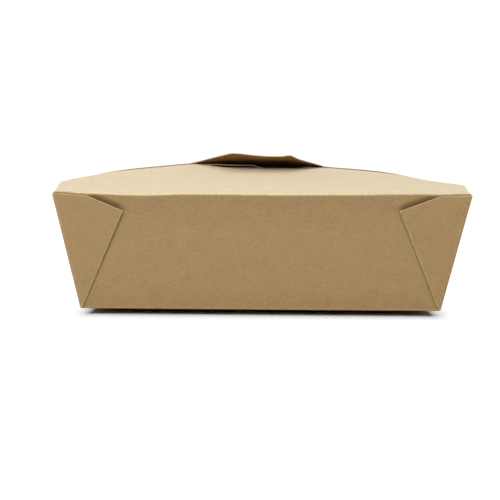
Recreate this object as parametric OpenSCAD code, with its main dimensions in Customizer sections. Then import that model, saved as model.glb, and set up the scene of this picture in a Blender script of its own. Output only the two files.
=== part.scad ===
// Folded takeaway box: one blank of kraft board with webbed corners and a crossing lid.
// X runs along the long sides, the front is at -Y, and the base rests on Z = 0.
// The blank is one sheet. The rear lid flap is its own node, because it swings at its crease.

/* [Box] */
// Length of the base, along X
base_length = 197; // [150:1:250]
// Width of the base, along Y
base_width = 140; // [110:1:180]
// Height of the rim above the table
wall_height = 63.5; // [45:0.5:90]
// How far each end wall leans out between base and rim
end_lean = 15; // [8:0.5:20]
// How far each side wall leans out between base and rim
side_lean = 9.4; // [5:0.1:14]

/* [Board] */
// Thickness of the board
board = 0.45; // [0.3:0.05:0.7]
// Outside radius of a fold
fold_radius = 0.9; // [0.8:0.05:1.5]
// Clear gap between two lid panels, and at the hinge crease
panel_gap = 0.3; // [0.2:0.05:0.6]

/* [Corner webs] */
// Length of the web's middle crease, from its foot to its tip
web_reach = 57.6; // [45:0.1:60]
// Length of the web's level top edge, from the rim corner
web_ledge = 18.5; // [8:0.5:24]
// How far the web's top edge lies below the rim
web_drop = 1.2; // [0.8:0.1:4]
// Width of the web's blunt foot
web_foot = 2.3; // [1:0.1:5]
// Height of the web's foot above the table
web_lift = 0.7; // [0.5:0.1:2]

/* [Long lid flaps] */
// Angle at which the front flap rises from the rim
lid_rise = 11.1; // [7:0.1:14]
// Distance from a rim corner to the end of a long flap
lid_inset = 1.5; // [1:0.1:6]
// Reach of a long flap at its ends, measured level
lid_end_reach = 25; // [15:0.5:40]
// How far the arc of a long flap passes the middle of the box
lid_pass = 5.6; // [3:0.1:9]
// Radius of the long flaps' corners
lid_corner = 3; // [1:0.5:8]

/* [Tongue and slit] */
// Width of the rear flap's tongue at its root
tongue_root = 76; // [60:1:90]
// Width of the tongue at its tip
tongue_tip = 33.5; // [20:0.5:50]
// How far the tongue passes the middle of the box
tongue_length = 27.5; // [18:0.5:35]
// Radius of the tongue's corners
tongue_corner = 3; // [1:0.5:8]
// Span of the slit in the front flap, from end to end
slit_span = 64; // [50:1:70]
// Length of the straight middle of the slit
slit_flat = 40; // [25:1:46]
// Distance of the slit's ends from the middle of the box
slit_end_setback = 3; // [2:0.1:5]
// Distance of the slit's middle from the middle of the box
slit_mid_setback = 11.2; // [8:0.1:16]
// Width of the open slit
slit_width = 0.5; // [0.3:0.05:1]
// Radius of the slit's bends
slit_bend = 8; // [4:0.5:12]

/* [End flaps] */
// Reach of an end flap, measured level
end_flap_reach = 76; // [50:1:84]
// Angle by which each side of an end flap narrows inwards
end_flap_taper = 26; // [20:0.5:32]
// Radius of the end flaps' corners
end_flap_corner = 15; // [5:1:25]

/* [Hidden] */
KRAFT = [0.66, 0.55, 0.38];
KRAFT_LID = [0.78, 0.68, 0.50];
ARC_STEPS = 8;
EDGE_STEPS = 32;
// How far a cutting shape runs past what it cuts
OVERRUN = 1;

rim_half_length = base_length / 2 + end_lean;
rim_half_width = base_width / 2 + side_lean;
// Angles of the walls from upright, and their heights along the board
end_tilt = atan(end_lean / wall_height);
side_tilt = atan(side_lean / wall_height);
end_slant = norm([wall_height, end_lean]);
side_slant = norm([wall_height, side_lean]);
// Angles by which the walls' end edges flare in the flat blank
side_wall_flare = atan(end_lean / side_slant);
end_wall_flare = atan(side_lean / end_slant);
// The web fills what the two walls leave of a right angle, and is folded in half
half_web = (90 - side_wall_flare - end_wall_flare) / 2;
crease_angle = half_web - side_wall_flare;
// How far two layers of web carry the end wall past the side wall's face
web_wrap = 2 * board / cos(side_tilt);

// The rear flap clears the front flap by the gap where they cross in the middle
ridge_height = rim_half_width * tan(lid_rise);
rear_rise = atan((ridge_height + board + panel_gap) / rim_half_width);
lid_half_length = rim_half_length - lid_inset;
lid_mid_reach = rim_half_width + lid_pass;
lid_bulge = lid_mid_reach - lid_end_reach;
lid_radius = (pow(lid_half_length, 2) + pow(lid_bulge, 2)) / (2 * lid_bulge);
tongue_reach = rim_half_width + tongue_length;

// The end flaps rise until their tapered sides lie under the long flaps
end_flap_rise = atan(tan(lid_rise) * tan(end_flap_taper));
end_flap_inset = (board / cos(lid_rise) + panel_gap) / tan(lid_rise);
end_flap_half_root = rim_half_width - end_flap_inset;

// Outward directions of the panels in the two sections, in turning order
BASE_SIDE = 270;
front_wall_side = 180 + side_tilt;
rear_wall_side = 360 - side_tilt;
front_flap_side = 90 + lid_rise;
front_tip_side = 90 - rear_rise;
rear_flap_side = 90 - rear_rise;
left_wall_side = 180 + end_tilt;
right_wall_side = 360 - end_tilt;
left_flap_side = 90 + end_flap_rise;
right_flap_side = 450 - end_flap_rise;

// The rear flap turns about the line where the middles of flap and wall meet
hinge_at = inset_corner([rim_half_width, wall_height], -side_tilt, rear_flap_side, board / 2);
wall_top_at = hinge_at - (board / 2 + panel_gap) * [sin(side_tilt), cos(side_tilt)];

function away(angle) = [cos(angle), sin(angle)];
function unit(v) = v / norm(v);
function turn(angle) = angle > 180 ? angle - 360 : angle < -180 ? angle + 360 : angle;

// Corner of two faces, moved into the sheet by the depth below both of them
function inset_corner(corner, face_a, face_b, depth) =
    corner - depth * (away(face_a) + away(face_b)) / (1 + away(face_a) * away(face_b));

// Arc round a point from one direction to another
function arc(centre, radius, from, to) =
    [for (i = [0 : ARC_STEPS]) centre + radius * away(from + (to - from) * i / ARC_STEPS)];

// Fold at a corner between two faces, at a depth below the outer face of the sheet
function fold(corner, face_a, face_b, depth) =
    arc(inset_corner(corner, face_a, face_b, fold_radius), fold_radius - depth, face_a, face_b);

// Corner b of an outline that comes from a and goes on to c, rounded to a radius
function rounded(a, b, c, radius) =
    let (u = unit(a - b),
         v = unit(c - b),
         half = acos(u * v) / 2,
         centre = b + unit(u + v) * radius / sin(half),
         start = b + u * radius / tan(half) - centre,
         end = b + v * radius / tan(half) - centre,
         from = atan2(start[1], start[0]),
         sweep = turn(atan2(end[1], end[0]) - from))
    arc(centre, radius, from, from + sweep);

function reversed(points) = [for (i = [len(points) - 1 : -1 : 0]) points[i]];
function mirrored_x(points) = [for (p = points) [-p[0], p[1]]];

// Folded section of base and side walls, in Y and Z. The front wall ends in the rim fold,
// and the rear wall in a square edge under the hinge.
front_rim = [-rim_half_width, wall_height];
rear_edge_out = wall_top_at + board / 2 * away(rear_wall_side);
rear_edge_in = wall_top_at - board / 2 * away(rear_wall_side);
function side_section_face(depth) = concat(
    fold(front_rim, front_flap_side, front_wall_side, depth),
    fold([-base_width / 2, 0], front_wall_side, BASE_SIDE, depth),
    fold([base_width / 2, 0], BASE_SIDE, rear_wall_side, depth));
front_fold_end = side_section_face(0)[0];

// What the outer faces enclose, and what the inner faces enclose, both open at the top
function side_outside() = concat(
    side_section_face(0),
    [rear_edge_out, rear_edge_in, rear_edge_in + OVERRUN * [-1, 1]],
    [front_fold_end + OVERRUN * [1, 1]]);
function side_inside() = concat(
    side_section_face(board),
    [rear_edge_in, rear_edge_in + 2 * OVERRUN * [sin(side_tilt), cos(side_tilt)]],
    [front_fold_end + 2 * OVERRUN * away(front_flap_side)]);

// Section of the front flap, from the rim fold to the tip that bends down under the rear flap
ridge = front_rim + [rim_half_width, ridge_height];
tip_run = lid_pass + OVERRUN;
tip_end = ridge + [tip_run, -tip_run * tan(rear_rise)];
function front_flap_face(depth) = concat(
    [tip_end - depth * away(front_tip_side)],
    fold(ridge, front_tip_side, front_flap_side, depth),
    fold(front_rim, front_flap_side, front_wall_side, depth));
function front_flap_section() = concat(front_flap_face(0), reversed(front_flap_face(board)));

// Section of the rear flap, a straight panel that starts at the middle of its round root
rear_run = tongue_reach + OVERRUN;
rear_end = hinge_at + rear_run * [-1, tan(rear_rise)];
rear_half_board = board / 2 * away(rear_flap_side);
rear_flap_section = [
    hinge_at - rear_half_board,
    hinge_at + rear_half_board,
    rear_end + rear_half_board,
    rear_end - rear_half_board];

// Folded section of base and end walls, in X and Z. Both walls end in the rim fold.
left_rim = [-rim_half_length, wall_height];
right_rim = [rim_half_length, wall_height];
function end_section_face(depth) = concat(
    fold(left_rim, left_flap_side, left_wall_side, depth),
    fold([-base_length / 2, 0], left_wall_side, BASE_SIDE, depth),
    fold([base_length / 2, 0], BASE_SIDE, right_wall_side, depth),
    fold(right_rim, right_wall_side, right_flap_side, depth));
left_fold_end = end_section_face(0)[0];
right_fold_end = [-left_fold_end[0], left_fold_end[1]];
function end_outside() = concat(
    end_section_face(0),
    [right_fold_end + OVERRUN * [-1, 1], left_fold_end + OVERRUN * [1, 1]]);
function end_inside() = concat(
    end_section_face(board),
    [right_fold_end + 2 * OVERRUN * away(right_flap_side)],
    [left_fold_end + 2 * OVERRUN * away(left_flap_side)]);

end_run = end_flap_reach + OVERRUN;
end_flap_end = right_rim + end_run * [-1, tan(end_flap_rise)];
function end_flap_face(depth) = concat(
    fold(right_rim, right_wall_side, right_flap_side, depth),
    [end_flap_end - depth * away(right_flap_side)]);
function end_flap_section() = concat(end_flap_face(0), reversed(end_flap_face(board)));

// Reach of a long flap's arc at a distance from the middle of its length
function lid_edge(x) = lid_mid_reach - lid_radius + sqrt(pow(lid_radius, 2) - pow(x, 2));

// Arc of a long flap from its end corner to a distance from the middle, in plan
function lid_arc(to_x) =
    let (span = lid_half_length - to_x,
         points = [for (i = [0 : EDGE_STEPS])
             let (x = lid_half_length - span * i / EDGE_STEPS)
             [x, lid_edge(x)]])
    concat(
        rounded([lid_half_length, -OVERRUN], points[0], points[1], lid_corner),
        [for (i = [2 : EDGE_STEPS]) points[i]]);

// Half outlines in plan, with Y as the reach from the rim
function front_half() = concat([[lid_half_length, -OVERRUN]], lid_arc(0));
tongue_root_at = [tongue_root / 2, lid_edge(tongue_root / 2)];
tongue_tip_at = [tongue_tip / 2, tongue_reach];
function rear_half() = concat(
    [[lid_half_length, -OVERRUN]],
    lid_arc(tongue_root / 2),
    rounded(tongue_root_at, tongue_tip_at, [0, tongue_reach], tongue_corner));
function whole(half) = concat(half, reversed(mirrored_x(half)));

// Lip of the slit, in plan, with Y from the middle of the box
slit_end_at = [slit_span / 2, -slit_end_setback];
slit_bend_at = [slit_flat / 2, -slit_mid_setback];
slit_half = concat(
    [slit_end_at],
    rounded(slit_end_at, slit_bend_at, [0, -slit_mid_setback], slit_bend));
slit_lip = concat(slit_half, reversed(mirrored_x(slit_half)));

// Outline of an end flap, in plan, with Y as the reach from the rim
end_flap_half_tip = end_flap_half_root - end_flap_reach * tan(end_flap_taper);
end_flap_half = concat(
    [[end_flap_half_root, -OVERRUN]],
    rounded([end_flap_half_root, 0], [end_flap_half_tip, end_flap_reach],
            [0, end_flap_reach], end_flap_corner));

// Web at the right end of a side wall, from its foot upwards, in X and the height up the wall
web_corner_x = rim_half_length + OVERRUN;
web_foot_at = [base_length / 2 - web_foot, web_lift];
web_tip_at = web_foot_at + web_reach * [-sin(crease_angle), cos(crease_angle)];
web_outline = [
    web_foot_at,
    [web_corner_x, web_lift],
    [web_corner_x, side_slant - web_drop],
    [rim_half_length - web_ledge, side_slant - web_drop],
    web_tip_at];

// Extrudes a section in Y and Z along X
module along_x(length) {
    rotate([90, 0, 90]) translate([0, 0, -length / 2]) linear_extrude(length) children();
}

// Extrudes a section in X and Z along Y
module along_y(length) {
    rotate([90, 0, 0]) translate([0, 0, -length / 2]) linear_extrude(length) children();
}

// Upright prism over a plan outline that is given as a reach from a rim at -Y
module over_plan(outline, rim) {
    translate([0, -rim, wall_height - 2 * fold_radius])
        linear_extrude(rim * tan(rear_rise) + tongue_reach) polygon(outline);
}

// The webs lie on the side walls: two glued layers that the end wall wraps round the corner
module web_zone() {
    intersection() {
        along_x(2 * web_corner_x)
            polygon([
                [-base_width / 2 - web_wrap, 0], [base_width / 2 + web_wrap, 0],
                [rim_half_width + web_wrap, wall_height], [-rim_half_width - web_wrap, wall_height]]);
        for (side = [0, 1])
            mirror([side, 0, 0])
                along_y(2 * (rim_half_width + web_wrap + OVERRUN))
                polygon([for (p = web_outline) [p[0], p[1] * cos(side_tilt)]]);
    }
}

// Base, walls and webs: what the outer faces enclose, less what the inner faces enclose
module walls() {
    difference() {
        intersection() {
            union() {
                along_x(2 * web_corner_x) polygon(side_outside());
                web_zone();
            }
            along_y(2 * (rim_half_width + web_wrap + OVERRUN)) polygon(end_outside());
        }
        intersection() {
            along_x(2 * web_corner_x) polygon(side_inside());
            along_y(2 * rim_half_width) polygon(end_inside());
        }
    }
}

module slit() {
    translate([0, 0, wall_height])
        linear_extrude(ridge_height + OVERRUN)
        polygon(concat(slit_lip, reversed([for (p = slit_lip) p + [0, slit_width]])));
}

module front_flap() {
    difference() {
        intersection() {
            along_x(2 * rim_half_length) polygon(front_flap_section());
            over_plan(whole(front_half()), rim_half_width);
        }
        slit();
    }
}

module end_flap() {
    intersection() {
        along_y(2 * rim_half_width) polygon(end_flap_section());
        rotate([0, 0, 90]) over_plan(whole(end_flap_half), rim_half_length);
    }
}

module carton() {
    color(KRAFT) union() {
        walls();
        front_flap();
        end_flap();
        mirror([1, 0, 0]) end_flap();
    }
}

module lid_flap() {
    color(KRAFT_LID) union() {
        intersection() {
            along_x(2 * rim_half_length) polygon(rear_flap_section);
            mirror([0, 1, 0]) over_plan(whole(rear_half()), rim_half_width);
        }
        along_x(2 * lid_half_length) translate(hinge_at) circle(d = board, $fn = 32);
    }
}

carton();
lid_flap();
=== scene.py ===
import math

import bpy
import numpy as np
from mathutils import Matrix, Vector, geometry


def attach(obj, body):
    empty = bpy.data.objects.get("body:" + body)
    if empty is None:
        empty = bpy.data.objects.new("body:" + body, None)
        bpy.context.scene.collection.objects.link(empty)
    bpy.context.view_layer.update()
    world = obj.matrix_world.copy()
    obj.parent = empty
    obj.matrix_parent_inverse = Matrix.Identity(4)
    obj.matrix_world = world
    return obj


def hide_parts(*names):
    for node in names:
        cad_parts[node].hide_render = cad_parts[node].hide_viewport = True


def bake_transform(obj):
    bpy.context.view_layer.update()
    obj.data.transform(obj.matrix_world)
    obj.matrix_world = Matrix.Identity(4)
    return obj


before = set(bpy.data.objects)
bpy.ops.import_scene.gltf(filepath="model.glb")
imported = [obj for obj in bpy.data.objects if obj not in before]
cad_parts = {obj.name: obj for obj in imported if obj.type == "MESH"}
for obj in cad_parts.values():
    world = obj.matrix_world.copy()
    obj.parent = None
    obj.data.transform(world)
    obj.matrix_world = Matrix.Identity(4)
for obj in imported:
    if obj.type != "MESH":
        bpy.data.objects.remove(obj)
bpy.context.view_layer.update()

# Sizes of the box in millimetres, as in the part's source. join() turns them into metres.
BOARD = 0.45
HALF = BOARD / 2
BASE_LENGTH = 197.0
BASE_WIDTH = 140.0
WALL_HEIGHT = 63.5
END_LEAN = 15.0
SIDE_LEAN = 9.4
RIM_X = BASE_LENGTH / 2 + END_LEAN
RIM_Y = BASE_WIDTH / 2 + SIDE_LEAN
END_TILT = math.atan(END_LEAN / WALL_HEIGHT)
SIDE_TILT = math.atan(SIDE_LEAN / WALL_HEIGHT)
SLANT = WALL_HEIGHT / math.cos(SIDE_TILT)

# Radii of the board's middle in the folds of the blank, at the lid's ridge and where an end wall wraps
# round a corner edge. WEB_CREASE is that of the fold between the two halves of a corner web.
FOLD = 0.9 - HALF
RIDGE_BEND = 6.0
WRAP = 1.3
WEB_CREASE = 0.24
# distances of the inner and the outer half's middle off the side wall's outer face
INNER_MID = 0.26
WEB_MID = INNER_MID + 2 * WEB_CREASE

# Lid flaps: the slope of each, and their outlines. A reach is the level distance in from the flap's own rim.
FRONT_RISE = math.radians(11.1)
REAR_RISE = math.radians(11.62)
END_RISE = math.radians(5.47)
LID_HALF = RIM_X - 1.5
LID_MID_REACH = RIM_Y + 5.6
LID_END_REACH = 25.0
LID_CORNER = 3.0
TONGUE_REACH = RIM_Y + 27.5
TONGUE_CORNER = 3.0
# half widths of the tongue at its root and at its tip, which differ a little from side to side
TONGUE_RIGHT = (36.0, 15.8)
TONGUE_LEFT = (42.5, 17.5)
# places of the slit from the box's middle, where the minus sign is towards the front or the left
SLIT_END = (32.0, -3.0)
SLIT_FLAT = 20.0
SLIT_DEPTH = -11.2
SLIT_BEND = 8.0
SLIT_WIDTH = 0.35
SLIT_SHIFT = -2.0
END_FLAP_REACH = 76.0
END_FLAP_TAPER = math.radians(26)
END_FLAP_CORNER = 15.0
END_FLAP_INSET = 3.87

# Corner webs, by the sides of X and Y that they are on. The foot lies in from the corner and the lift up
# from the wall's foot. The free edge runs from there at the turn, in degrees, for the reach. The ledge and
# the drop are measured from the rim's corner, and the lean is how many degrees the web stands off the wall.
WEBS = {
    (-1, -1): dict(foot=0.9, lift=0.7, reach=59.2, turn=22.3, ledge=18.5, drop=1.2, lean=1.5),
    (1, -1): dict(foot=0.8, lift=0.7, reach=59.3, turn=23.15, ledge=17.6, drop=1.2, lean=1.3),
    (-1, 1): dict(foot=0.9, lift=0.7, reach=58.1, turn=22.4, ledge=18.5, drop=1.2, lean=1.2),
    (1, 1): dict(foot=0.9, lift=0.7, reach=58.1, turn=22.4, ledge=18.5, drop=1.2, lean=1.4),
}
# how far a web's top stays below the rim, and where its ledge bends, as a share of the ledge
WEB_TOP_GAP = 0.9
WEB_LIP = 0.45

# How the real box departs from the plain shape
CROWN = 3.1
RACK = 0.55

# Spacing of the mesh, how close its free points may come to its lines, and the gaps beside a fold at which
# it has a row of its own. Points closer than MERGE become one.
GRID = 3.2
CLEARANCE = 0.45 * GRID
BESIDE_FOLD = (0.4, 1.0, 2.0)
MERGE = 1e-4
FAR = 1e9
TINY = 1e-9


def towards(angle):
    return np.array((math.cos(angle), math.sin(angle)))


def unit(v):
    return v / np.linalg.norm(v)


def right_of(direction):
    return np.array((direction[1], -direction[0]))


def smooth(low, high, value):
    t = np.clip((np.asarray(value, float) - low) / (high - low), 0, 1)
    return t * t * (3 - 2 * t)


def bump(middle, reach, value):
    """1 at the middle, falling smoothly to 0 at that distance from it."""
    return 1 - smooth(0, reach, np.abs(value - middle))


def plateau(rise, fall, value):
    """1 between two stretches, rising from 0 over the first and falling to 0 over the second."""
    return smooth(*rise, value) * (1 - smooth(*fall, value))


def fading(gap, width):
    """1 where the gap is 0 or less, fading to 0 over about the width."""
    return np.exp(-((np.maximum(gap, 0) / width) ** 2))


def inset(corner, face_a, face_b, depth):
    """Corner of two faces, moved into the board by the depth below both."""
    return np.array(corner) - depth * (face_a + face_b) / (1 + face_a @ face_b)


class Section:
    """Middle of the board along a row of panels, as distance out from the box's middle and height.
    It starts in the base's middle. Every fold turns the same way, and outside is on the right."""

    def __init__(self, corners, radii):
        corners = [np.array(p, float) for p in corners]
        self.parts, self.folds, self.trims = [], [], []
        self.starts, self.ends = [0.0], []
        s, trim = 0.0, 0.0
        for k in range(1, len(corners)):
            along = unit(corners[k] - corners[k - 1])
            cut = 0.0
            if k < len(corners) - 1:
                turn = math.acos(np.clip(along @ unit(corners[k + 1] - corners[k]), -1, 1))
                cut = radii[k - 1] * math.tan(turn / 2)
            run = np.linalg.norm(corners[k] - corners[k - 1]) - trim - cut
            self.parts.append((s, s + run, corners[k - 1] + along * trim, along, None))
            s += run
            self.ends.append(s)
            if cut:
                radius = radii[k - 1]
                centre = corners[k] - along * cut - radius * right_of(along)
                self.parts.append((s, s + radius * turn, centre, along, radius))
                self.folds.append((s, s + radius * turn))
                s += radius * turn
                self.starts.append(s)
            self.trims.append(cut)
            trim = cut
        self.length = s

    def at(self, s, offset):
        """Places at positions s along the flat row, and at offsets to the outside."""
        out = np.zeros((len(s), 2))
        for k, (start, stop, origin, along, radius) in enumerate(self.parts):
            here = ((s >= start) | (k == 0)) & ((s < stop) | (k == len(self.parts) - 1))
            run = (s[here] - start)[:, None]
            off = offset[here][:, None]
            if radius is None:
                out[here] = origin + run * along + off * right_of(along)
            else:
                turned = run / radius
                radial = np.cos(turned) * right_of(along) + np.sin(turned) * along
                out[here] = origin + (radius + off) * radial
        return out

    def foldness(self, s, count, width=0.35):
        """1 on the first folds of the row, fading to 0 beside them."""
        near = np.zeros(len(s))
        for low, high in self.folds[:count]:
            near = np.maximum(near, fading(np.maximum(low - s, s - high), width))
        return near


# Outward faces of the panels, as (distance out, height)
UPRIGHT = math.pi / 2
DOWN = np.array((0.0, -1.0))
SIDE_FACE = towards(-SIDE_TILT)
END_FACE = towards(-END_TILT)
FRONT_FLAP_FACE = towards(UPRIGHT - FRONT_RISE)
FRONT_TIP_FACE = towards(UPRIGHT + REAR_RISE)
REAR_FLAP_FACE = towards(UPRIGHT - REAR_RISE)
END_FLAP_FACE = towards(UPRIGHT - END_RISE)
# directions in which the flaps run in from their folds
REAR_FLAP_RUN = towards(math.pi - REAR_RISE)
END_FLAP_RUN = towards(math.pi - END_RISE)

# Corners of the board's middle in the three rows of panels
side_foot = inset((BASE_WIDTH / 2, 0), DOWN, SIDE_FACE, HALF)
end_foot = inset((BASE_LENGTH / 2, 0), DOWN, END_FACE, HALF)
front_rim = inset((RIM_Y, WALL_HEIGHT), SIDE_FACE, FRONT_FLAP_FACE, HALF)
end_rim = inset((RIM_X, WALL_HEIGHT), END_FACE, END_FLAP_FACE, HALF)
ridge = inset((0, WALL_HEIGHT + RIM_Y * math.tan(FRONT_RISE)), FRONT_FLAP_FACE, FRONT_TIP_FACE, HALF)
hinge = inset((RIM_Y, WALL_HEIGHT), SIDE_FACE, REAR_FLAP_FACE, HALF)

# The last panel of a row goes on past its end, so these runs only give its direction.
TIP_RUN = 8.0
FLAP_RUN = 90.0
front_tip = ridge - TIP_RUN * towards(REAR_RISE)
front = Section([(0, HALF), side_foot, front_rim, ridge, front_tip], [FOLD, FOLD, RIDGE_BEND])
rear = Section([(0, HALF), side_foot, hinge], [FOLD])
end = Section([(0, HALF), end_foot, end_rim, end_rim + FLAP_RUN * END_FLAP_RUN], [FOLD, FOLD])


def side_plane(x, v, out):
    """Point on a wall at positive Y: along it from the middle, up its slope, and off its outer face."""
    y = BASE_WIDTH / 2 + v * math.sin(SIDE_TILT) + out * math.cos(SIDE_TILT)
    z = v * math.cos(SIDE_TILT) - out * math.sin(SIDE_TILT)
    return np.array((x, y, z))


def web_places(size):
    """Foot, tip, ledge and lip of a web on its wall, as (distance from the box's middle, distance up)."""
    foot = np.array((BASE_LENGTH / 2 - size["foot"], size["lift"]))
    tip = foot + size["reach"] * towards(UPRIGHT + math.radians(size["turn"]))
    top = SLANT - size["drop"]
    return foot, tip, (RIM_X - size["ledge"], top), (RIM_X - WEB_LIP * size["ledge"], top)


class Web:
    """One corner web, folded in half on the side wall, with the end wall wrapped round the corner edge.
    In the flat blank its points lie at a along the corner edge and b beyond it."""

    def __init__(self, size):
        self.up = np.array((math.sin(END_TILT), 0, math.cos(END_TILT)))
        self.out = np.array((math.cos(END_TILT), 0, -math.sin(END_TILT)))
        web_face = np.array((0, math.cos(SIDE_TILT), -math.sin(SIDE_TILT)))
        self.edge = unit(np.cross(self.out, web_face))
        self.across = np.cross(self.edge, self.out)
        # where the end wall's middle meets the web's middle, level with the foot of the wall
        self.wall_foot = np.array((end_foot[0], 0, end_foot[1]))
        web_foot = side_plane(0, 0, WEB_MID)
        y = web_foot[1] + (end_foot[1] - web_foot[2]) * math.tan(SIDE_TILT)
        self.origin = self.wall_foot + np.array((0, y, 0))
        self.angle = math.acos(self.out @ web_face) - math.radians(size["lean"])
        self.trim = WRAP * math.tan(self.angle / 2)
        self.foot, self.tip, self.ledge, self.lip = (self.flat(*place) for place in web_places(size))
        self.top = self.flat_on_edge(SLANT - WEB_TOP_GAP)
        self.bottom = self.flat_on_edge(size["lift"])
        self.crease = unit(self.tip - self.foot)
        self.beyond = -right_of(self.crease)

    def flat(self, x, v):
        """Blank position of a point given on the folded web's plane."""
        q = side_plane(x, v, WEB_MID) - self.origin
        along = q @ self.edge
        off_edge = np.linalg.norm(q - along * self.edge)
        return np.array((along, off_edge - 2 * self.trim + WRAP * self.angle))

    def flat_on_edge(self, v):
        """Blank position on the fold round the corner edge, at that height up the side wall's slope."""
        q = side_plane(0, v, WEB_MID) - self.origin
        return np.array((q[2] / self.edge[2], -self.trim + WRAP * self.angle / 2))

    def mirrored(self, p):
        """Where a point of the outer half lies in the blank on the inner half."""
        e = (p - self.foot) @ self.beyond
        return p + (math.pi * WEB_CREASE - 2 * e) * self.beyond

    def place(self, a, b, offset):
        """Folded places of blank positions: over the web's crease first, and then round the corner edge."""
        ab = np.stack((a, b), 1)
        e = (ab - self.foot) @ self.beyond
        turned = np.clip(e / WEB_CREASE, 0, math.pi)
        over = np.maximum(e - math.pi * WEB_CREASE, 0)
        e_folded = np.where(e > 0, (WEB_CREASE + offset) * np.sin(turned) - over, e)
        offset = np.where(e > 0, -WEB_CREASE + (WEB_CREASE + offset) * np.cos(turned), offset)
        a, b = (ab + (e_folded - e)[:, None] * self.beyond).T
        turned = np.clip((b + self.trim) / WRAP, 0, self.angle)
        over = np.maximum(b + self.trim - WRAP * self.angle, 0)
        bent = b > -self.trim
        bent_across = -self.trim + (WRAP + offset) * np.sin(turned) + over * math.cos(self.angle)
        bent_out = -WRAP + (WRAP + offset) * np.cos(turned) - over * math.sin(self.angle)
        across = np.where(bent, bent_across, b)[:, None] * self.across
        out = np.where(bent, bent_out, offset)[:, None] * self.out
        return self.origin + a[:, None] * self.edge + across + out

    def of_wall(self, distance, y):
        """Blank position, along the corner edge and beyond it, of a point on the end wall's plane."""
        p = self.wall_foot - self.origin + np.outer(distance, self.up) + np.outer(y, (0, 1, 0))
        return p @ self.edge, p @ self.across

    def to_wall(self, ab):
        """Distance up the end wall's plane and Y, the inverse of of_wall()."""
        p = self.origin + ab[0] * self.edge + ab[1] * self.across
        return (p - self.wall_foot) @ self.up, p[1]


def rounded(a, b, c, radius, steps=8):
    """Corner b between a and c, rounded."""
    a, b, c = (np.array(p, float) for p in (a, b, c))
    to_a, to_c = unit(a - b), unit(c - b)
    half = math.acos(np.clip(to_a @ to_c, -1, 1)) / 2
    centre = b + unit(to_a + to_c) * radius / math.sin(half)
    start = b + to_a * radius / math.tan(half) - centre
    stop = b + to_c * radius / math.tan(half) - centre
    first = math.atan2(start[1], start[0])
    sweep = math.atan2(stop[1], stop[0]) - first
    sweep = (sweep + math.pi) % (2 * math.pi) - math.pi
    return [tuple(centre + radius * towards(first + sweep * i / steps)) for i in range(steps + 1)]


def refined(points, closed=True):
    """Points along a line, no further apart than the mesh's spacing."""
    points = [np.array(p, float) for p in points]
    pairs = zip(points, points[1:] + points[:1]) if closed else zip(points[:-1], points[1:])
    out = []
    for p, q in pairs:
        n = max(1, math.ceil(np.linalg.norm(q - p) / GRID))
        out += [p + (q - p) * i / n for i in range(n)]
    return out if closed else out + [points[-1]]


def with_mirror(half):
    """Whole line from its half on the positive side of X, with points on the middle kept single."""
    return half + [(-x, y) for x, y in reversed(half) if x > TINY]


def inside(points, loop):
    """Which points lie inside a closed loop."""
    x, y = points.T
    hit = np.zeros(len(points), bool)
    loop = np.array(loop)
    for (x0, y0), (x1, y1) in zip(loop, np.roll(loop, -1, axis=0)):
        if y1 != y0:
            hit ^= ((y0 > y) != (y1 > y)) & (x < (x1 - x0) * (y - y0) / (y1 - y0) + x0)
    return hit


def from_loops(points, loops):
    """Distance of each point from the nearest of several closed loops."""
    best = np.full(len(points), FAR)
    for loop in loops:
        loop = np.array(loop)
        for p, q in zip(loop, np.roll(loop, -1, axis=0)):
            d = q - p
            t = np.clip((points - p) @ d / max(d @ d, TINY), 0, 1)
            best = np.minimum(best, np.linalg.norm(points - p - t[:, None] * d, axis=1))
    return best


def without_slivers(flat, faces, least=0.05):
    """Faces less the needle-thin ones along the outline, which rounding leaves between points in one line."""
    thin = np.ones(len(faces), bool)
    while thin.any():
        corner = flat[faces]
        sides = corner[:, (1, 2, 0)] - corner
        lengths = np.linalg.norm(sides, axis=2)
        area = np.abs(sides[:, 0, 0] * sides[:, 1, 1] - sides[:, 0, 1] * sides[:, 1, 0])
        edges = np.sort(np.stack((faces, faces[:, (1, 2, 0)]), 2), axis=2)
        code = edges[:, :, 0].astype(np.int64) * (len(flat) + 1) + edges[:, :, 1]
        _, back, count = np.unique(code, return_inverse=True, return_counts=True)
        outline = count[back.reshape(code.shape)] == 1
        longest_is_outline = outline[np.arange(len(faces)), lengths.argmax(1)]
        thin = (area / lengths.max(1) < least) & longest_is_outline
        faces = faces[~thin]
    return faces


def grid_within(loop, taken):
    """Points of a staggered grid inside a loop, less those close to points already taken."""
    low, high = taken.min(0), taken.max(0)
    xs = np.arange(math.floor(low[0] / GRID), math.ceil(high[0] / GRID) + 1) * GRID
    ys = np.arange(math.floor(low[1] / GRID), math.ceil(high[1] / GRID) + 1) * GRID
    grid = np.array([(x + GRID / 2 * (k % 2), y) for k, y in enumerate(ys) for x in xs])
    grid = grid[inside(grid, loop)]
    near = np.full(len(grid), FAR)
    for point in taken:
        near = np.minimum(near, ((grid - point) ** 2).sum(1))
    return grid[near > CLEARANCE ** 2]


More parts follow.
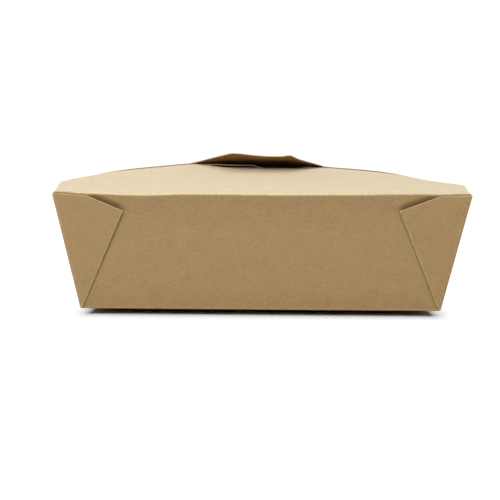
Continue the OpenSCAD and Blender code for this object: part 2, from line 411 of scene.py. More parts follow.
def flat_mesh(loops, rows):
    """Points and triangles of a flat sheet: the first loop is its outline, the others are holes in it."""
    verts, edges = [], []
    for loop in loops:
        first = len(verts)
        verts += loop
        edges += [(first + i, first + (i + 1) % len(loop)) for i in range(len(loop))]
    for row in rows:
        line = refined(row, closed=False)
        first = len(verts)
        verts += line
        edges += [(first + i, first + i + 1) for i in range(len(line) - 1)]
    verts += list(grid_within(loops[0], np.array(verts)))
    made = geometry.delaunay_2d_cdt([Vector(v) for v in verts], edges, [], 0, MERGE)
    flat = np.array([tuple(v) for v in made[0]])
    faces = np.array([f for f in made[2] if len(f) == 3])
    middle = flat[faces].mean(1)
    keep = inside(middle, loops[0])
    for hole in loops[1:]:
        keep &= ~inside(middle, hole)
    faces = without_slivers(flat, faces[keep])
    used = np.unique(faces)
    index = np.full(len(flat), -1)
    index[used] = np.arange(len(used))
    return flat[used], index[faces]


# Sides of the sheet, which are also the places of their materials
OUTER, INNER, EDGE = range(3)
# millimetres of board in one unit of the blank's UV map
UV_UNIT = 100


def solid_sheet(outline, holes, rows, place, marks, shift=(0.0, 0.0)):
    """Closed solid of board cut to an outline in the blank and folded by place(points, offset).
    Rows are lines that the mesh follows, so that folds stay round. marks(points) says how near each point
    is to a crease, how far it belongs to the lid, which gets a paler tint as painted light, and how much
    painted shade it has. The shift sets the panel's pattern of fibres apart from the others."""
    loops = [refined(loop) for loop in [outline, *holes]]
    flat, faces = flat_mesh(loops, rows)
    outer, inner = place(flat, HALF), place(flat, -HALF)
    a, b, c = (outer[faces[:, k]] for k in range(3))
    facing = (np.cross(b - a, c - a) * (outer - inner)[faces[:, 0]]).sum(1)
    if np.median(facing) < 0:
        faces = faces[:, ::-1]
    tris = [tuple(int(i) for i in f) for f in faces]
    directed = dict.fromkeys((f[k], f[(k + 1) % 3]) for f in tris for k in range(3))
    rim = [(p, q) for p, q in directed if (q, p) not in directed]
    n = len(flat)
    polys = tris + [(f[2] + n, f[1] + n, f[0] + n) for f in tris] + [(q, p, p + n, q + n) for p, q in rim]
    kinds = [OUTER] * len(tris) + [INNER] * len(tris) + [EDGE] * len(rim)
    uv = np.concatenate((flat, flat)) + np.array(shift)
    values = [np.concatenate((v, v)) for v in (*marks(flat), from_loops(flat, loops))]
    return np.concatenate((outer, inner)), polys, kinds, uv, values


def settle(p):
    """Small departures of the real box from the plain shape, for points in millimetres."""
    p = p.copy()
    x, y, z = p.T.copy()
    # the base bows down between its folds, which keeps its edges off the table
    margin, end_run, side_run, base_top = 1.0, 30.0, 26.0, 5.0
    along = smooth(0, end_run, BASE_LENGTH / 2 - margin - np.abs(x))
    across = smooth(0, side_run, BASE_WIDTH / 2 - margin - np.abs(y))
    p[:, 2] -= CROWN * along * across * (z < base_top)
    # the whole box is racked a little to one side
    p[:, 0] -= RACK * (1 - np.clip(z / WALL_HEIGHT, 0, 1))
    # the front rim rises towards both ends and dips on the left
    right_rise, left_rise, dip = 0.9, 0.5, 0.75
    wave = right_rise * smooth(0, 115, x) + left_rise * smooth(92, 108, -x) - dip * bump(-67, 27, x)
    p[:, 2] += wave * smooth(0, WALL_HEIGHT, z) * smooth(10, 75, -y)
    # the closed lid lies lower on the right, by these shares of its height above the rim
    near_middle, near_end, left_dip = 0.145, 0.13, 0.045
    low = near_middle * smooth(12, 45, x) + near_end * smooth(70, 105, x) + left_dip * bump(-62, 42, x)
    p[:, 2] -= low * np.maximum(z - WALL_HEIGHT, 0) * smooth(-78, -28, y)
    return p


def part_edges(mesh, polys, kinds):
    """Which edges of a mesh lie between two sides of the sheet."""
    edge_of = np.zeros(len(mesh.loops), np.int32)
    mesh.loops.foreach_get("edge_index", edge_of)
    kind_of = np.repeat(kinds, [len(face) for face in polys])
    lowest, highest = np.full(len(mesh.edges), EDGE), np.full(len(mesh.edges), OUTER)
    np.minimum.at(lowest, edge_of, kind_of)
    np.maximum.at(highest, edge_of, kind_of)
    return lowest != highest


def join(name, sheets, materials):
    """One mesh of several sheets, in metres, with its blank positions and marks."""
    polys, kinds = [], []
    first = 0
    for places, faces, sides, _, _ in sheets:
        polys += [tuple(i + first for i in face) for face in faces]
        kinds += sides
        first += len(places)
    places = settle(np.concatenate([sheet[0] for sheet in sheets])) / 1000
    uv = np.concatenate([sheet[3] for sheet in sheets]) / UV_UNIT
    values = np.concatenate([sheet[4] for sheet in sheets], axis=1)
    mesh = bpy.data.meshes.new(name)
    mesh.from_pydata([tuple(p) for p in places], [], polys)
    for material in materials:
        mesh.materials.append(material)
    mesh.polygons.foreach_set("material_index", np.array(kinds, np.int32))
    mesh.polygons.foreach_set("use_smooth", np.array(kinds) != EDGE)
    corners = np.zeros(len(mesh.loops), np.int32)
    mesh.loops.foreach_get("vertex_index", corners)
    mesh.uv_layers.new(name="Blank").data.foreach_set("uv", uv[corners].astype(np.float32).ravel())
    for key, value in zip(("Crease", "Lid", "Shade", "Inset"), values):
        mesh.attributes.new(key, "FLOAT", "POINT").data.foreach_set("value", value.astype(np.float32))
    # the sheet's two sides are shaded apart from its cut edge
    sharp = part_edges(mesh, polys, kinds)
    mesh.attributes.new("sharp_edge", "BOOLEAN", "EDGE").data.foreach_set("value", sharp)
    mesh.update()
    obj = bpy.data.objects.new(name, mesh)
    bpy.context.scene.collection.objects.link(obj)
    return obj


# Middle strip: front flap, front wall, base and rear wall in one row, Y from front to rear.
# The end strips meet it in the base at the seam, just inside their own fold. CORNER_GAP keeps its walls off
# the end walls. Walls end RIM_STEP below a rim's fold, and the base is cut FOLD_STEP inside the walls' folds.
# CREASE_HALF is left out at the rear rim, on either side, for the crease.
SEAM_INSET = 0.6
SEAM = end.ends[0] - SEAM_INSET
CORNER_GAP = 0.75
RIM_STEP = 0.05
FOLD_STEP = 0.1
CREASE_HALF = 1.3


def lid_edge(x):
    """Level reach of a long flap's round edge from its rim."""
    bulge = LID_MID_REACH - LID_END_REACH
    radius = (LID_HALF ** 2 + bulge ** 2) / (2 * bulge)
    return LID_MID_REACH - radius + np.sqrt(radius ** 2 - x ** 2)


def corner_x(distance):
    """Half length between the corner edges at a distance up a side wall, less the gap to the end wall."""
    return BASE_LENGTH / 2 + distance * math.cos(SIDE_TILT) * END_LEAN / WALL_HEIGHT - CORNER_GAP


def front_s(reach):
    """Blank position of a level reach from the front rim."""
    return front.starts[2] - front.trims[1] + (reach - (RIM_Y - front_rim[0])) / math.cos(FRONT_RISE)


def middle_half():
    """Half of the middle strip's outline, from the front flap's edge to the rear rim."""
    arc = [(x, -front_s(lid_edge(x))) for x in np.linspace(0, LID_HALF, 40)[:-1]]
    flap_start, flap_end = -front.starts[2], -front_s(LID_END_REACH)
    half = arc[:-1] + rounded((LID_HALF, flap_start), (LID_HALF, flap_end), arc[-1], LID_CORNER)[::-1]
    front_top = front.ends[1] - RIM_STEP
    rear_top = rear.length - CREASE_HALF
    base_end = front.ends[0] - FOLD_STEP
    # the walls' flat parts start a little above their sharp feet
    above_foot, on_fold = 0.5, 0.2
    half += [(LID_HALF, flap_start), (LID_HALF, -front_top)]
    half += [(corner_x(front.ends[1] - front.starts[1] + above_foot), -front_top)]
    half += [(corner_x(on_fold), -front.starts[1]), (corner_x(0), -base_end), (SEAM, -base_end)]
    half += [(SEAM, base_end), (corner_x(0), base_end), (corner_x(on_fold), rear.starts[1])]
    half += [(corner_x(rear_top - rear.starts[1] + above_foot), rear_top), (0.0, rear_top)]
    return half


def slit_lip():
    """The slit's near lip in the blank, from right to left."""
    middle = (0.0, SLIT_DEPTH)
    half = [SLIT_END] + rounded(SLIT_END, (SLIT_FLAT, SLIT_DEPTH), middle, SLIT_BEND) + [middle]
    lip = with_mirror([(x, -front_s(RIM_Y + y)) for x, y in half])
    return [(x + SLIT_SHIFT, y) for x, y in lip]


def slit_loop():
    lip = slit_lip()
    return lip + [(x, y - SLIT_WIDTH) for x, y in reversed(lip)]


def across_fold(low, high, steps=6):
    """Positions of the mesh's rows round a fold and beside it."""
    before = [low - gap for gap in reversed(BESIDE_FOLD)]
    within = [low + (high - low) * i / steps for i in range(steps + 1)]
    return before + within + [high + gap for gap in BESIDE_FOLD]


def fold_rows(section, sign, half_widths):
    """Rows along the folds of a section, each fold with its own half width."""
    rows = []
    for (low, high), w in zip(section.folds, half_widths):
        rows += [[(-w, sign * s), (w, sign * s)] for s in across_fold(low, high)]
    return rows


def web_corners(side):
    """Foot, tip and ledge of a front web, as they lie over the front wall in the blank."""
    wall_foot = front.starts[1] - front.trims[0]
    return [np.array((side * x, -(wall_foot + v))) for x, v in web_places(WEBS[(side, -1)])[:3]]


def off_direction(start, end_point):
    """Unit direction off a line in the blank, towards the middle of the front rim."""
    off = right_of(unit(end_point - start))
    rim_middle = np.array((0.0, -front.folds[1][0]))
    return off if (rim_middle - start) @ off > 0 else -off


def off_line(points, start, end_point):
    """How far points lie off a line, and how far along it, 0 at its start and 1 at its end."""
    q, d = points - start, end_point - start
    return q @ off_direction(start, end_point), q @ d / (d @ d)


def rows_beside(start, end_point, lifts, first, last):
    """Rows at several distances off a line, from the first to the last share of its length."""
    run, off = end_point - start, off_direction(start, end_point)
    return [[start + share * run + lift * off for share in (first, last)] for lift in lifts]


# Distances of the rows off a front web's free top edge and off its folded edge, where the wall gets painted
# shade
ABOVE_WEB = (-1.0, 0.0, 0.8, 1.6, 2.4, 3.3, 4.3)
BESIDE_WEB = (0.2, 0.6, 1.0, 1.5)


def web_rows(side):
    foot, tip, ledge = web_corners(side)
    return rows_beside(tip, ledge, ABOVE_WEB, -0.15, 0.86) + rows_beside(foot, tip, BESIDE_WEB, 0.03, 0.99)


def place_middle(flat, offset):
    """Folded places of the middle strip, with the slit's lips apart."""
    x, s = flat.T
    offsets = np.full(len(s), offset)
    at_front, at_rear = front.at(-s, offsets).T, rear.at(s, offsets).T
    y, z = np.where(s < 0, (-at_front[0], at_front[1]), at_rear)
    # beyond the slit the flap stands proud on the left half and is pushed in on the right half
    proud, fall, pushed_in = 1.5, 2.6, 3.4
    lip = np.array(sorted(slit_lip()))
    past = -s - np.interp(x, lip[:, 0], -lip[:, 1])
    beyond = (past > SLIT_WIDTH / 2) & (x > lip[0, 0]) & (x < lip[-1, 0])
    left = plateau((-34, -25), (-6, 4), x)
    right = plateau((-6, 6), (14, 29), x)
    z = z + beyond * (left * (proud - fall * smooth(0, 9, past)) - pushed_in * right)
    return np.stack((x, y, z), 1)


# Strength of the painted shade line on the front wall beside each web's folded edge. The left one has a real
# shadow, so none is painted there.
FOLD_SHADE = {-1: 0.0, 1: 0.5}


def web_shade(flat, side):
    """Painted shade on the front wall: a dark gap above a web's free top edge, and a dark line beside its
    folded edge.
    """
    foot, tip, ledge = web_corners(side)
    above, along = off_line(flat, tip, ledge)
    gap = plateau((-6, -1), (0.5, 4.2), above) * plateau((-0.12, 0.12), (0.75, 1.1), along)
    beside, along = off_line(flat, foot, tip)
    line = plateau((-1.5, -0.5), (0.6, 1.5), beside) * (along > 0) * (along < 1)
    return np.maximum(gap, FOLD_SHADE[side] * line)


def marks_middle(flat):
    """Marks of the middle strip, of which only the front wall and the front rim's fold have painted shade in
    places.
    """
    x, s = flat.T
    low, high = front.folds[1]
    crease = np.where(s < 0, front.foldness(-s, 2), rear.foldness(s, 1))
    # painted shade on the front rim's fold, dark at both ends and a little dark along its right half
    painted_rim_shade = np.maximum(0.75 * smooth(97, 107, np.abs(x)), 0.4 * smooth(30, 80, x))
    shade = painted_rim_shade * plateau((low - 0.3, low + 0.3), (high - 0.2, high + 0.3), -s)
    front_wall = (s < 0) & (-s < low)
    for side in (-1, 1):
        shade = np.maximum(shade, front_wall * web_shade(flat, side))
    # painted shade: the walls are a little darker along their upper and lower edges
    up = np.where(s < 0, -s - front.starts[1], s - rear.starts[1])
    painted_band_shade = 0.13 * bump(WALL_HEIGHT - 0.5, 24, up) + 0.10 * bump(0, 14, up)
    shade = np.maximum(shade, painted_band_shade * (-s < high))
    return crease, smooth(low, high, -s), shade


# rows run a little past the corner edges, so that they reach the outline
base_row, rim_row, ridge_row = BASE_LENGTH / 2 + 1, RIM_X + 1, 40.0
middle_rows = fold_rows(front, -1, (base_row, rim_row, ridge_row)) + fold_rows(rear, 1, (base_row,))
middle_rows += web_rows(-1) + web_rows(1)
middle = solid_sheet(with_mirror(middle_half()), [slit_loop()], middle_rows, place_middle, marks_middle)


# End strips: end wall with both webs, and end flap. Positions run out from the base's middle. The rows
# along the two folds have these half widths.
END_ROWS = (BASE_WIDTH / 2 - 0.7, RIM_Y - 4.0)
# how far up the wall its free corner at the foot lies, and how far in the end flap's sides start
WALL_START = 0.8
FLAP_START = 0.3
# A web begins this far up the end wall, or lower down where it is this near to its corner edge. TOP_SLACK
# keeps the points on its top edge with it. Up to FOOT_FOLD it keeps the marks of the fold at the wall's foot.
WEB_START = 0.45
EDGE_START = -0.6
TOP_SLACK = 0.02
FOOT_FOLD = 5.0


def end_s(distance):
    """Blank position at a distance up the end wall from its sharp foot."""
    return end.starts[1] - end.trims[0] + distance


def flap_s(reach):
    """Blank position of a level reach from the end rim."""
    return end.starts[2] - end.trims[1] + (reach - (RIM_X - end_rim[0])) / math.cos(END_RISE)


def on_strip(web, points):
    """Positions along and across an end strip of points given on a web."""
    return [(end_s(distance), y) for distance, y in map(web.to_wall, points)]


def web_outline(web):
    """Outline of a web from its bottom at the corner edge over its inner half to its top."""
    # the inner half keeps off the corner fold, and is a little smaller than the outer half
    inner_edge = web.trim + 0.5
    smaller = 0.4 * web.crease
    crease_start = web.foot + 2.0 * web.crease + 0.1 * web.beyond
    inner_foot = web.foot + 3.0 * web.crease + np.array((0.0, -0.4))
    inner_low = np.array((web.foot[0] + 8.0, inner_edge))
    inner_top = np.array((web.top[0] - 0.5, inner_edge))
    points = [web.bottom, web.foot, crease_start]
    points += [web.mirrored(p) for p in (inner_foot, inner_low, inner_top)]
    points += [web.mirrored(web.ledge) - smaller, web.mirrored(web.tip - smaller)]
    points += [web.tip, web.ledge, web.lip, web.top]
    return on_strip(web, points)


def end_half(web):
    """Half of an end strip's outline on the web's side, from the seam in the base to the flap's tip."""
    root = RIM_Y - END_FLAP_INSET
    tip = root - END_FLAP_REACH * math.tan(END_FLAP_TAPER)
    root_s, tip_s = flap_s(FLAP_START), flap_s(END_FLAP_REACH)
    start_y = web.to_wall((0.9, -web.trim - 0.03))[1]
    top_y = web.to_wall((web.top[0], -web.trim))[1]
    wall_top = end.ends[1] - RIM_STEP
    half = [(SEAM, 0.0), (SEAM, start_y - 0.2), (end_s(WALL_START), start_y)]
    half += web_outline(web)
    half += [(wall_top, top_y), (wall_top, root), (root_s, root)]
    half += rounded((root_s, root), (tip_s, tip), (tip_s, 0), END_FLAP_CORNER, 12)
    return half + [(tip_s, 0.0)]


def web_fold_rows(web, steps=8):
    """Rows round the fold at the corner edge and round the web's own crease."""
    rows = []
    wrap_end = WRAP * web.angle
    for b in [EDGE_START] + [wrap_end * i / steps for i in range(steps + 1)] + [wrap_end - EDGE_START]:
        rows.append([(a, b - web.trim) for a in (web.bottom[0] + 0.2, web.top[0] - 0.3)])
    crease_end = math.pi * WEB_CREASE
    length = np.linalg.norm(web.tip - web.foot)
    for e in [-1.5, -0.6] + [crease_end * i / steps for i in range(steps + 1)] + [crease_end + 0.6]:
        rows.append([web.foot + t * web.crease + e * web.beyond for t in (2.2, length + 1.0)])
    return [on_strip(web, row) for row in rows]


def on_web(web, s, b, margin=0.0):
    """Which points of an end strip belong to a web or to its fold round the corner edge."""
    above_foot = (s > end_s(WEB_START)) | (b > EDGE_START)
    return (b > -web.trim - margin) & above_foot & (s < end.ends[1] + TOP_SLACK)


def end_strip(side):
    """End wall, webs and end flap at one end of the box."""
    webs = {y_side: Web(WEBS[(side, y_side)]) for y_side in (-1, 1)}
    left = [(s, -y) for s, y in end_half(webs[-1])]
    outline = end_half(webs[1]) + left[-2:0:-1]
    rows = []
    for (low, high), w in zip(end.folds, END_ROWS):
        rows += [[(s, -w), (s, w)] for s in across_fold(low, high) if s > SEAM + RIM_STEP]
    for y_side, web in webs.items():
        rows += [[(s, y_side * y) for s, y in row] for row in web_fold_rows(web)]

    def place(flat, offset):
        s, y = flat.T
        offsets = np.full(len(s), offset)
        out, z = end.at(s, offsets).T
        p = np.stack((out, y, z), 1)
        for y_side, web in webs.items():
            a, b = web.of_wall(s - end_s(0), y * y_side)
            here = on_web(web, s, b)
            p[here] = web.place(a[here], b[here], offsets[here]) * (1, y_side, 1)
        return p * (side, 1, 1)

    def marks(flat):
        s, y = flat.T
        crease = end.foldness(s, 2)
        for y_side, web in webs.items():
            a, b = web.of_wall(s - end_s(0), y * y_side)
            # the webs' tops are cut, not folded
            crease[on_web(web, s, b) & (s > end_s(FOOT_FOLD))] = 0
            # both the corner edge and the web's own fold are paler, partly from wear and partly as a painted
            # highlight, over a half width and a little beyond
            from_edge = np.abs(b + web.trim - WRAP * web.angle / 2)
            from_crease = np.abs((np.stack((a, b), 1) - web.foot) @ web.beyond - math.pi * WEB_CREASE / 2)
            wrapped = 0.6 * fading(from_edge - 0.8, 0.4)
            folded = fading(from_crease - 0.38, 0.25) * (b > 0)
            crease = np.maximum(crease, np.maximum(wrapped, folded) * on_web(web, s, b, margin=1.0))
        low, high = end.folds[1]
        return crease, smooth(low, high, s), np.zeros(len(s))

    return solid_sheet(outline, [], rows, place, marks, shift=(400.0 * side, 300.0))


left_strip, right_strip = end_strip(-1), end_strip(1)


# Rear flap with its tongue. Positions run in from the hinge.
def rear_u(reach):
    """Blank position of a level reach from the rear rim."""
    return (reach - (RIM_Y - hinge[0])) / math.cos(REAR_RISE)


def rear_half(root, tip):
    """Half of the rear flap's outline from the tongue's middle to the hinge."""
    arc = [(x, rear_u(lid_edge(x))) for x in np.linspace(root, LID_HALF, 30)[:-1]]
    tongue_end = rear_u(TONGUE_REACH)
    half = [(0.0, tongue_end)]
    half += rounded(arc[0], (tip, tongue_end), (0, tongue_end), TONGUE_CORNER)[::-1]
    half += arc[:-1]
    half += rounded((LID_HALF, 0), (LID_HALF, rear_u(LID_END_REACH)), arc[-1], LID_CORNER)[::-1]
    return half + [(LID_HALF, CREASE_HALF)]


def place_rear(flat, offset):
    """Places of the closed rear flap."""
    x, u = flat.T
    y, z = hinge[:, None] + np.outer(REAR_FLAP_RUN, u) + offset * right_of(REAR_FLAP_RUN)[:, None]
    # the tongue droops towards its right, and its right corner curls up again. It starts at the box's middle.
    droop, curl = 1.6, 0.7
    out = smooth(0, TONGUE_REACH - RIM_Y - 0.5, -y)
    z = z - (droop * smooth(-19, 4, x) - curl * bump(16, 6, x) * out) * out
    return np.stack((x, y, z), 1)


def marks_rear(flat):
    nothing = np.zeros(len(flat))
    return nothing, nothing + 1, nothing


rear_outline = rear_half(*TONGUE_RIGHT) + [(-x, y) for x, y in rear_half(*TONGUE_LEFT)[:0:-1]]
rear_flap = solid_sheet(rear_outline, [], [], place_rear, marks_rear, shift=(0.0, 700.0))

# Crease between rear wall and rear flap. The runs beside it only give their directions.
CREASE_RUN = 20.0
wall_up = np.array((math.sin(SIDE_TILT), math.cos(SIDE_TILT)))
crease_path = Section([hinge - CREASE_RUN * wall_up, hinge, hinge + CREASE_RUN * REAR_FLAP_RUN], [FOLD])
crease_low = crease_path.ends[0] + crease_path.trims[0] - CREASE_HALF
crease_high = crease_path.starts[1] - crease_path.trims[0] + CREASE_HALF


def place_crease(flat, offset):
    x, s = flat.T
    y, z = crease_path.at(s, np.full(len(s), offset)).T
    return np.stack((x, y, z), 1)


def marks_crease(flat):
    s = flat[:, 1]
    return crease_path.foldness(s, 1), smooth(*crease_path.folds[0], s), np.zeros(len(s))


crease_outline = with_mirror([(LID_HALF, crease_low), (LID_HALF, crease_high)])
crease_rows = [[(-LID_HALF, s), (LID_HALF, s)] for s in np.linspace(crease_low, crease_high, 14)[1:-1]]
crease = solid_sheet(crease_outline, [], crease_rows, place_crease, marks_crease, shift=(0.0, 600.0))


# Materials
def put(tree, node, key, value):
    """Link a socket to a node's input, or set the input to a plain value."""
    if isinstance(value, bpy.types.NodeSocket):
        tree.links.new(value, node.inputs[key])
    else:
        node.inputs[key].default_value = value


def add(tree, kind, **inputs):
    """A node with its inputs set or linked by name, laid out in columns to the left of the shader."""
    column, row = divmod(len(tree.nodes), 6)
    node = tree.nodes.new(kind)
    node.location = (column * 200 - 2800, row * -260)
    for key, value in inputs.items():
        put(tree, node, key.replace("_", " "), value)
    return node


def maths(tree, operation, *values):
    node = add(tree, "ShaderNodeMath")
    node.operation = operation
    for key, value in enumerate(values):
        put(tree, node, key, value)
    return node.outputs[0]


def vector_maths(tree, operation, *values):
    node = add(tree, "ShaderNodeVectorMath")
    node.operation = operation
    for key, value in enumerate(values):
        put(tree, node, key, value)
    return node.outputs["Vector"]


def noise(tree, at, scale, detail, rough):
    node = add(tree, "ShaderNodeTexNoise", Vector=at, Scale=scale, Detail=detail, Roughness=rough)
    return node.outputs["Fac"]


def spread(tree, value, low, high, to_low, to_high):
    """The value's range from low to high, mapped to another range and kept within it."""
    node = add(tree, "ShaderNodeMapRange", Value=value)
    for key, limit in (("From Min", low), ("From Max", high), ("To Min", to_low), ("To Max", to_high)):
        put(tree, node, key, limit)
    return node.outputs["Result"]


def step_up(tree, value, low, high, full=1.0):
    """0 at low, rising smoothly to the full value at high."""
    result = spread(tree, value, low, high, 0, full)
    result.node.interpolation_type = "SMOOTHSTEP"
    return result


def attribute(tree, name):
    node = add(tree, "ShaderNodeAttribute")
    node.attribute_name = name
    return node.outputs["Fac"]


# places of the colour sockets of a mix node, whose names it uses several times
MIX_A, MIX_B, MIX_RESULT = 6, 7, 2


def mix_colours(tree, factor, first, second):
    node = add(tree, "ShaderNodeMix", Factor=factor)
    node.data_type = "RGBA"
    put(tree, node, MIX_A, first)
    put(tree, node, MIX_B, second)
    return node.outputs[MIX_RESULT]


def board_pattern(tree):
    """Noises of the board in the blank's own plane: pulp, grain and pale fibres, and the tone they make."""
    blank = add(tree, "ShaderNodeUVMap")
    blank.uv_map = "Blank"
    at = blank.outputs["UV"]
    cloud = noise(tree, at, scale=13, detail=3, rough=0.55)
    pulp = noise(tree, at, scale=62, detail=5, rough=0.62)
    grain = noise(tree, at, scale=260, detail=3, rough=0.6)
    specks = noise(tree, at, scale=105, detail=1, rough=0.4)
    fibres = []
    for degrees, fineness in ((14, 330), (74, 290), (-46, 310)):
        turn, size = (0, 0, math.radians(degrees)), (fineness * 0.09, fineness, 1)
        held = add(tree, "ShaderNodeMapping", Vector=at, Rotation=turn, Scale=size).outputs[0]
        fibres.append(noise(tree, held, scale=1, detail=2, rough=0.5))
    pale = maths(tree, "MAXIMUM", step_up(tree, fibres[0], 0.60, 0.74), step_up(tree, fibres[1], 0.60, 0.74))
    faint = step_up(tree, fibres[1], 0.40, 0.28, 0.7)
    dark = maths(tree, "MAXIMUM", step_up(tree, fibres[2], 0.62, 0.76), faint)
    cloudiness, mean_tone = 0.24, 0.88
    tone = maths(tree, "MULTIPLY_ADD", cloud, cloudiness, mean_tone)
    terms = [
        spread(tree, pulp, 0.3, 0.7, -0.12, 0.12),
        spread(tree, grain, 0.3, 0.7, -0.08, 0.08),
        maths(tree, "MULTIPLY", pale, 0.10),
        maths(tree, "MULTIPLY", dark, -0.10),
        maths(tree, "MULTIPLY", step_up(tree, specks, 0.755, 0.80), -0.22),
    ]
    for term in terms:
        tone = maths(tree, "ADD", tone, term)
    return pulp, grain, pale, tone


# colour of the painted shade in dark gaps and contact lines, and how far it covers the board where it is full
PAINTED_SHADE_COLOUR = (0.055, 0.017, 0.001, 1)
PAINTED_SHADE_COVER = 0.75


def kraft(name, tint, lid_painted_light_tint, rough, gloss, sheen, relief, wear_and_highlight):
    """Kraft board: cloudy pulp, short fibres in all directions, dark specks, and creases paler from wear and
    from a painted highlight.
    The lid flaps get a paler tint as painted light, and the Shade marks get a painted shade.
    """
    material = bpy.data.materials.new(name)
    material.use_nodes = True
    material.diffuse_color = (*tint, 1)
    tree = material.node_tree
    pulp, grain, pale, tone = board_pattern(tree)
    # creases are paler, partly from wear and partly as a painted highlight, and the last bit of board beside
    # a cut edge is worn paler
    uneven = spread(tree, pulp, 0.35, 0.65, 0.5 * wear_and_highlight, 1.3 * wear_and_highlight)
    tone = maths(tree, "ADD", tone, maths(tree, "MULTIPLY", attribute(tree, "Crease"), uneven))
    tone = maths(tree, "ADD", tone, step_up(tree, attribute(tree, "Inset"), 0.62, 0.12, 1.6 * wear_and_highlight))
    # the lid flaps take the paler tint, which is painted light
    base = mix_colours(tree, attribute(tree, "Lid"), (*tint, 1), (*lid_painted_light_tint, 1))
    scaled = add(tree, "ShaderNodeVectorMath")
    scaled.operation = "SCALE"
    put(tree, scaled, "Vector", base)
    put(tree, scaled, "Scale", tone)
    # painted shade: the Shade marks darken the board's colour towards the painted shade colour
    painted_shade_amount = maths(tree, "MULTIPLY", attribute(tree, "Shade"), PAINTED_SHADE_COVER)
    colour = mix_colours(tree, painted_shade_amount, scaled.outputs["Vector"], PAINTED_SHADE_COLOUR)
    terms = [maths(tree, "MULTIPLY", part, share) for part, share in ((grain, 0.6), (pale, 0.5), (pulp, 0.8))]
    height = maths(tree, "ADD", maths(tree, "ADD", terms[0], terms[1]), terms[2])
    normal = add(tree, "ShaderNodeBump", Strength=relief, Distance=0.00008, Height=height).outputs[0]
    looks = {
        "Base Color": colour,
        "Roughness": spread(tree, pulp, 0.3, 0.7, rough - 0.06, rough + 0.08),
        "Normal": normal,
        "Specular IOR Level": gloss,
        "Sheen Weight": sheen,
        "Sheen Roughness": 0.5,
        "Sheen Tint": (1.0, 0.95, 0.86, 1),
    }
    for key, value in looks.items():
        put(tree, tree.nodes["Principled BSDF"], key, value)
    return material


WALL_TINT = (0.252, 0.164, 0.069)
# The lid flaps' paler, creamier tint is painted light: the brighter light on the lid's top, painted into its
# colour.
LID_PAINTED_LIGHT_TINT = (0.552, 0.455, 0.298)
INNER_TINT = (0.235, 0.131, 0.046)
EDGE_TINT = (0.50, 0.37, 0.205)
board_sides = [
    kraft("kraft_outer", WALL_TINT, LID_PAINTED_LIGHT_TINT, rough=0.6, gloss=0.25, sheen=0.2, relief=0.5, wear_and_highlight=0.26),
    kraft("kraft_inner", INNER_TINT, INNER_TINT, rough=0.5, gloss=0.06, sheen=0.0, relief=0.25, wear_and_highlight=0.05),
    kraft("kraft_edge", EDGE_TINT, EDGE_TINT, rough=0.8, gloss=0.25, sheen=0.2, relief=0.8, wear_and_highlight=0.0),
]

carton = join("carton_sheet", [middle, left_strip, right_strip], board_sides)
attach(carton, "carton")
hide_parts("carton")
lid = join("rear_flap_sheet", [rear_flap], board_sides)
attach(lid, "lid")
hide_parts("lid_flap")
# the crease follows the carton at its lower edge and the flap at its upper edge
strip = join("rear_crease", [crease], board_sides)
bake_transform(strip)


# Stage, in metres. The floor is paler for the light that it sends up to the box than for the camera.
FLOOR_SIZE = 6.0
FLOOR_GAP = 0.00005
FLOOR_SEEN = 0.5
FLOOR_BOUNCE = 0.65
BACKDROP = 1.1
ROOM_LIGHT = 0.08
# The camera was fitted to the photo's outline. Angles are in degrees.
CAMERA_PLACE = (0, -0.8794, 0.0875)
CAMERA_LENS = 107.05
LOOK_DOWN = 3.87
CAMERA_ROLL = 0.45


def add_floor():
    """Pale floor that takes the box's shadow, with a painted shadow that greys it near the box's foot, and
    runs out into the white background away from its foot.
    """
    bpy.ops.mesh.primitive_plane_add(size=FLOOR_SIZE, location=(0, 0, -CROWN / 1000 - FLOOR_GAP))
    floor = bpy.context.object
    floor.name = "floor"
    material = bpy.data.materials.new("floor_white")
    material.use_nodes = True
    tree = material.node_tree
    shader = tree.nodes["Principled BSDF"]
    seen = add(tree, "ShaderNodeLightPath").outputs["Is Camera Ray"]
    put(tree, shader, "Base Color", spread(tree, seen, 0, 1, FLOOR_BOUNCE, FLOOR_SEEN))
    put(tree, shader, "Roughness", 0.7)
    put(tree, shader, "Specular IOR Level", 0.1)
    # distance off the foot's rectangle, which counts for more at the box's ends than at its sides. For the
    # camera the floor is greyer near the foot and whitens with this distance: a painted shadow round the
    # foot, on top of the real shadow it takes.
    foot = (BASE_LENGTH / 2000 - 0.005, BASE_WIDTH / 2000, 0)
    end_weight, painted_shadow_fade = 2.4, 0.014
    place = vector_maths(tree, "ABSOLUTE", add(tree, "ShaderNodeTexCoord").outputs["Object"])
    off = vector_maths(tree, "MAXIMUM", vector_maths(tree, "SUBTRACT", place, foot), (0, 0, 0))
    off = vector_maths(tree, "MULTIPLY", off, (end_weight, 1, 0))
    length = add(tree, "ShaderNodeVectorMath")
    length.operation = "LENGTH"
    put(tree, length, 0, off)
    near = maths(tree, "EXPONENT", maths(tree, "MULTIPLY", length.outputs["Value"], -1 / painted_shadow_fade))
    away = maths(tree, "MULTIPLY", maths(tree, "SUBTRACT", 1.0, near), seen)
    white = add(tree, "ShaderNodeEmission", Strength=BACKDROP)
    mixed = add(tree, "ShaderNodeMixShader", Fac=away)
    put(tree, mixed, 1, shader.outputs[0])
    put(tree, mixed, 2, white.outputs[0])
    put(tree, tree.nodes["Material Output"], "Surface", mixed.outputs[0])
    floor.data.materials.append(material)


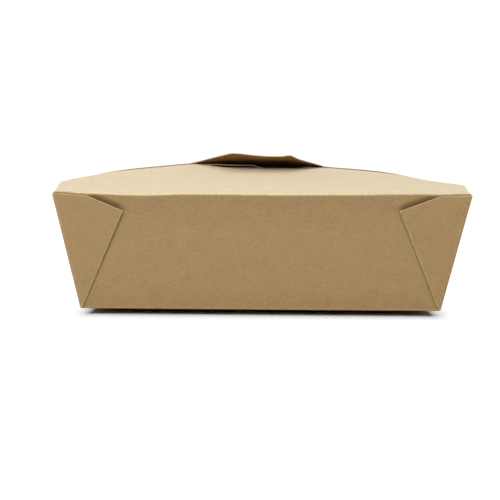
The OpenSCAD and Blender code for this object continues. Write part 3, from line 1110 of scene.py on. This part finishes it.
def add_world():
    """White background for the camera, and a faint even light for everything else."""
    world = bpy.data.worlds.new("studio")
    bpy.context.scene.world = world
    world.use_nodes = True
    tree = world.node_tree
    seen = add(tree, "ShaderNodeLightPath").outputs["Is Camera Ray"]
    put(tree, tree.nodes["Background"], "Color", (1, 1, 1, 1))
    put(tree, tree.nodes["Background"], "Strength", spread(tree, seen, 0, 1, ROOM_LIGHT, BACKDROP))


def add_light(name, place, aim_height, size, power):
    """Soft light that faces the box's middle at a height."""
    data = bpy.data.lights.new(name, "AREA")
    data.shape = "RECTANGLE"
    data.size, data.size_y = size
    data.energy = power
    light = bpy.data.objects.new(name, data)
    bpy.context.scene.collection.objects.link(light)
    light.location = place
    facing = Vector((0, 0, aim_height)) - Vector(place)
    light.rotation_euler = facing.to_track_quat("-Z", "Y").to_euler()


def add_camera():
    """Camera at the photo's place: before the long side, a little above the rim and looking slightly down."""
    data = bpy.data.cameras.new("camera")
    data.lens = CAMERA_LENS
    data.sensor_width = 36
    data.shift_x = -0.0238
    data.clip_start = 0.05
    data.clip_end = 20
    camera = bpy.data.objects.new("camera", data)
    bpy.context.scene.collection.objects.link(camera)
    place = Matrix.Translation(CAMERA_PLACE)
    pitch = Matrix.Rotation(math.radians(90 - LOOK_DOWN), 4, "X")
    roll = Matrix.Rotation(math.radians(CAMERA_ROLL), 4, "Z")
    camera.matrix_world = place @ pitch @ roll
    bpy.context.scene.camera = camera


add_floor()
add_world()
add_light("key", (-0.3, -1.24, 0.94), aim_height=0.03, size=(0.8, 0.6), power=24)
add_light("top", (0.0, -0.35, 1.45), aim_height=0.03, size=(1.4, 0.9), power=12)
add_light("fill", (0.1, -1.75, 0.45), aim_height=0.03, size=(2.0, 0.4), power=5)
add_light("back", (0.0, 1.5, 0.75), aim_height=0.05, size=(2.6, 1.1), power=3)
for x_side in (-1, 1):
    add_light("side", (1.3 * x_side, 0.75, 0.55), aim_height=0.05, size=(1.0, 0.8), power=7)
add_camera()
bpy.context.scene.view_settings.view_transform = "Standard"
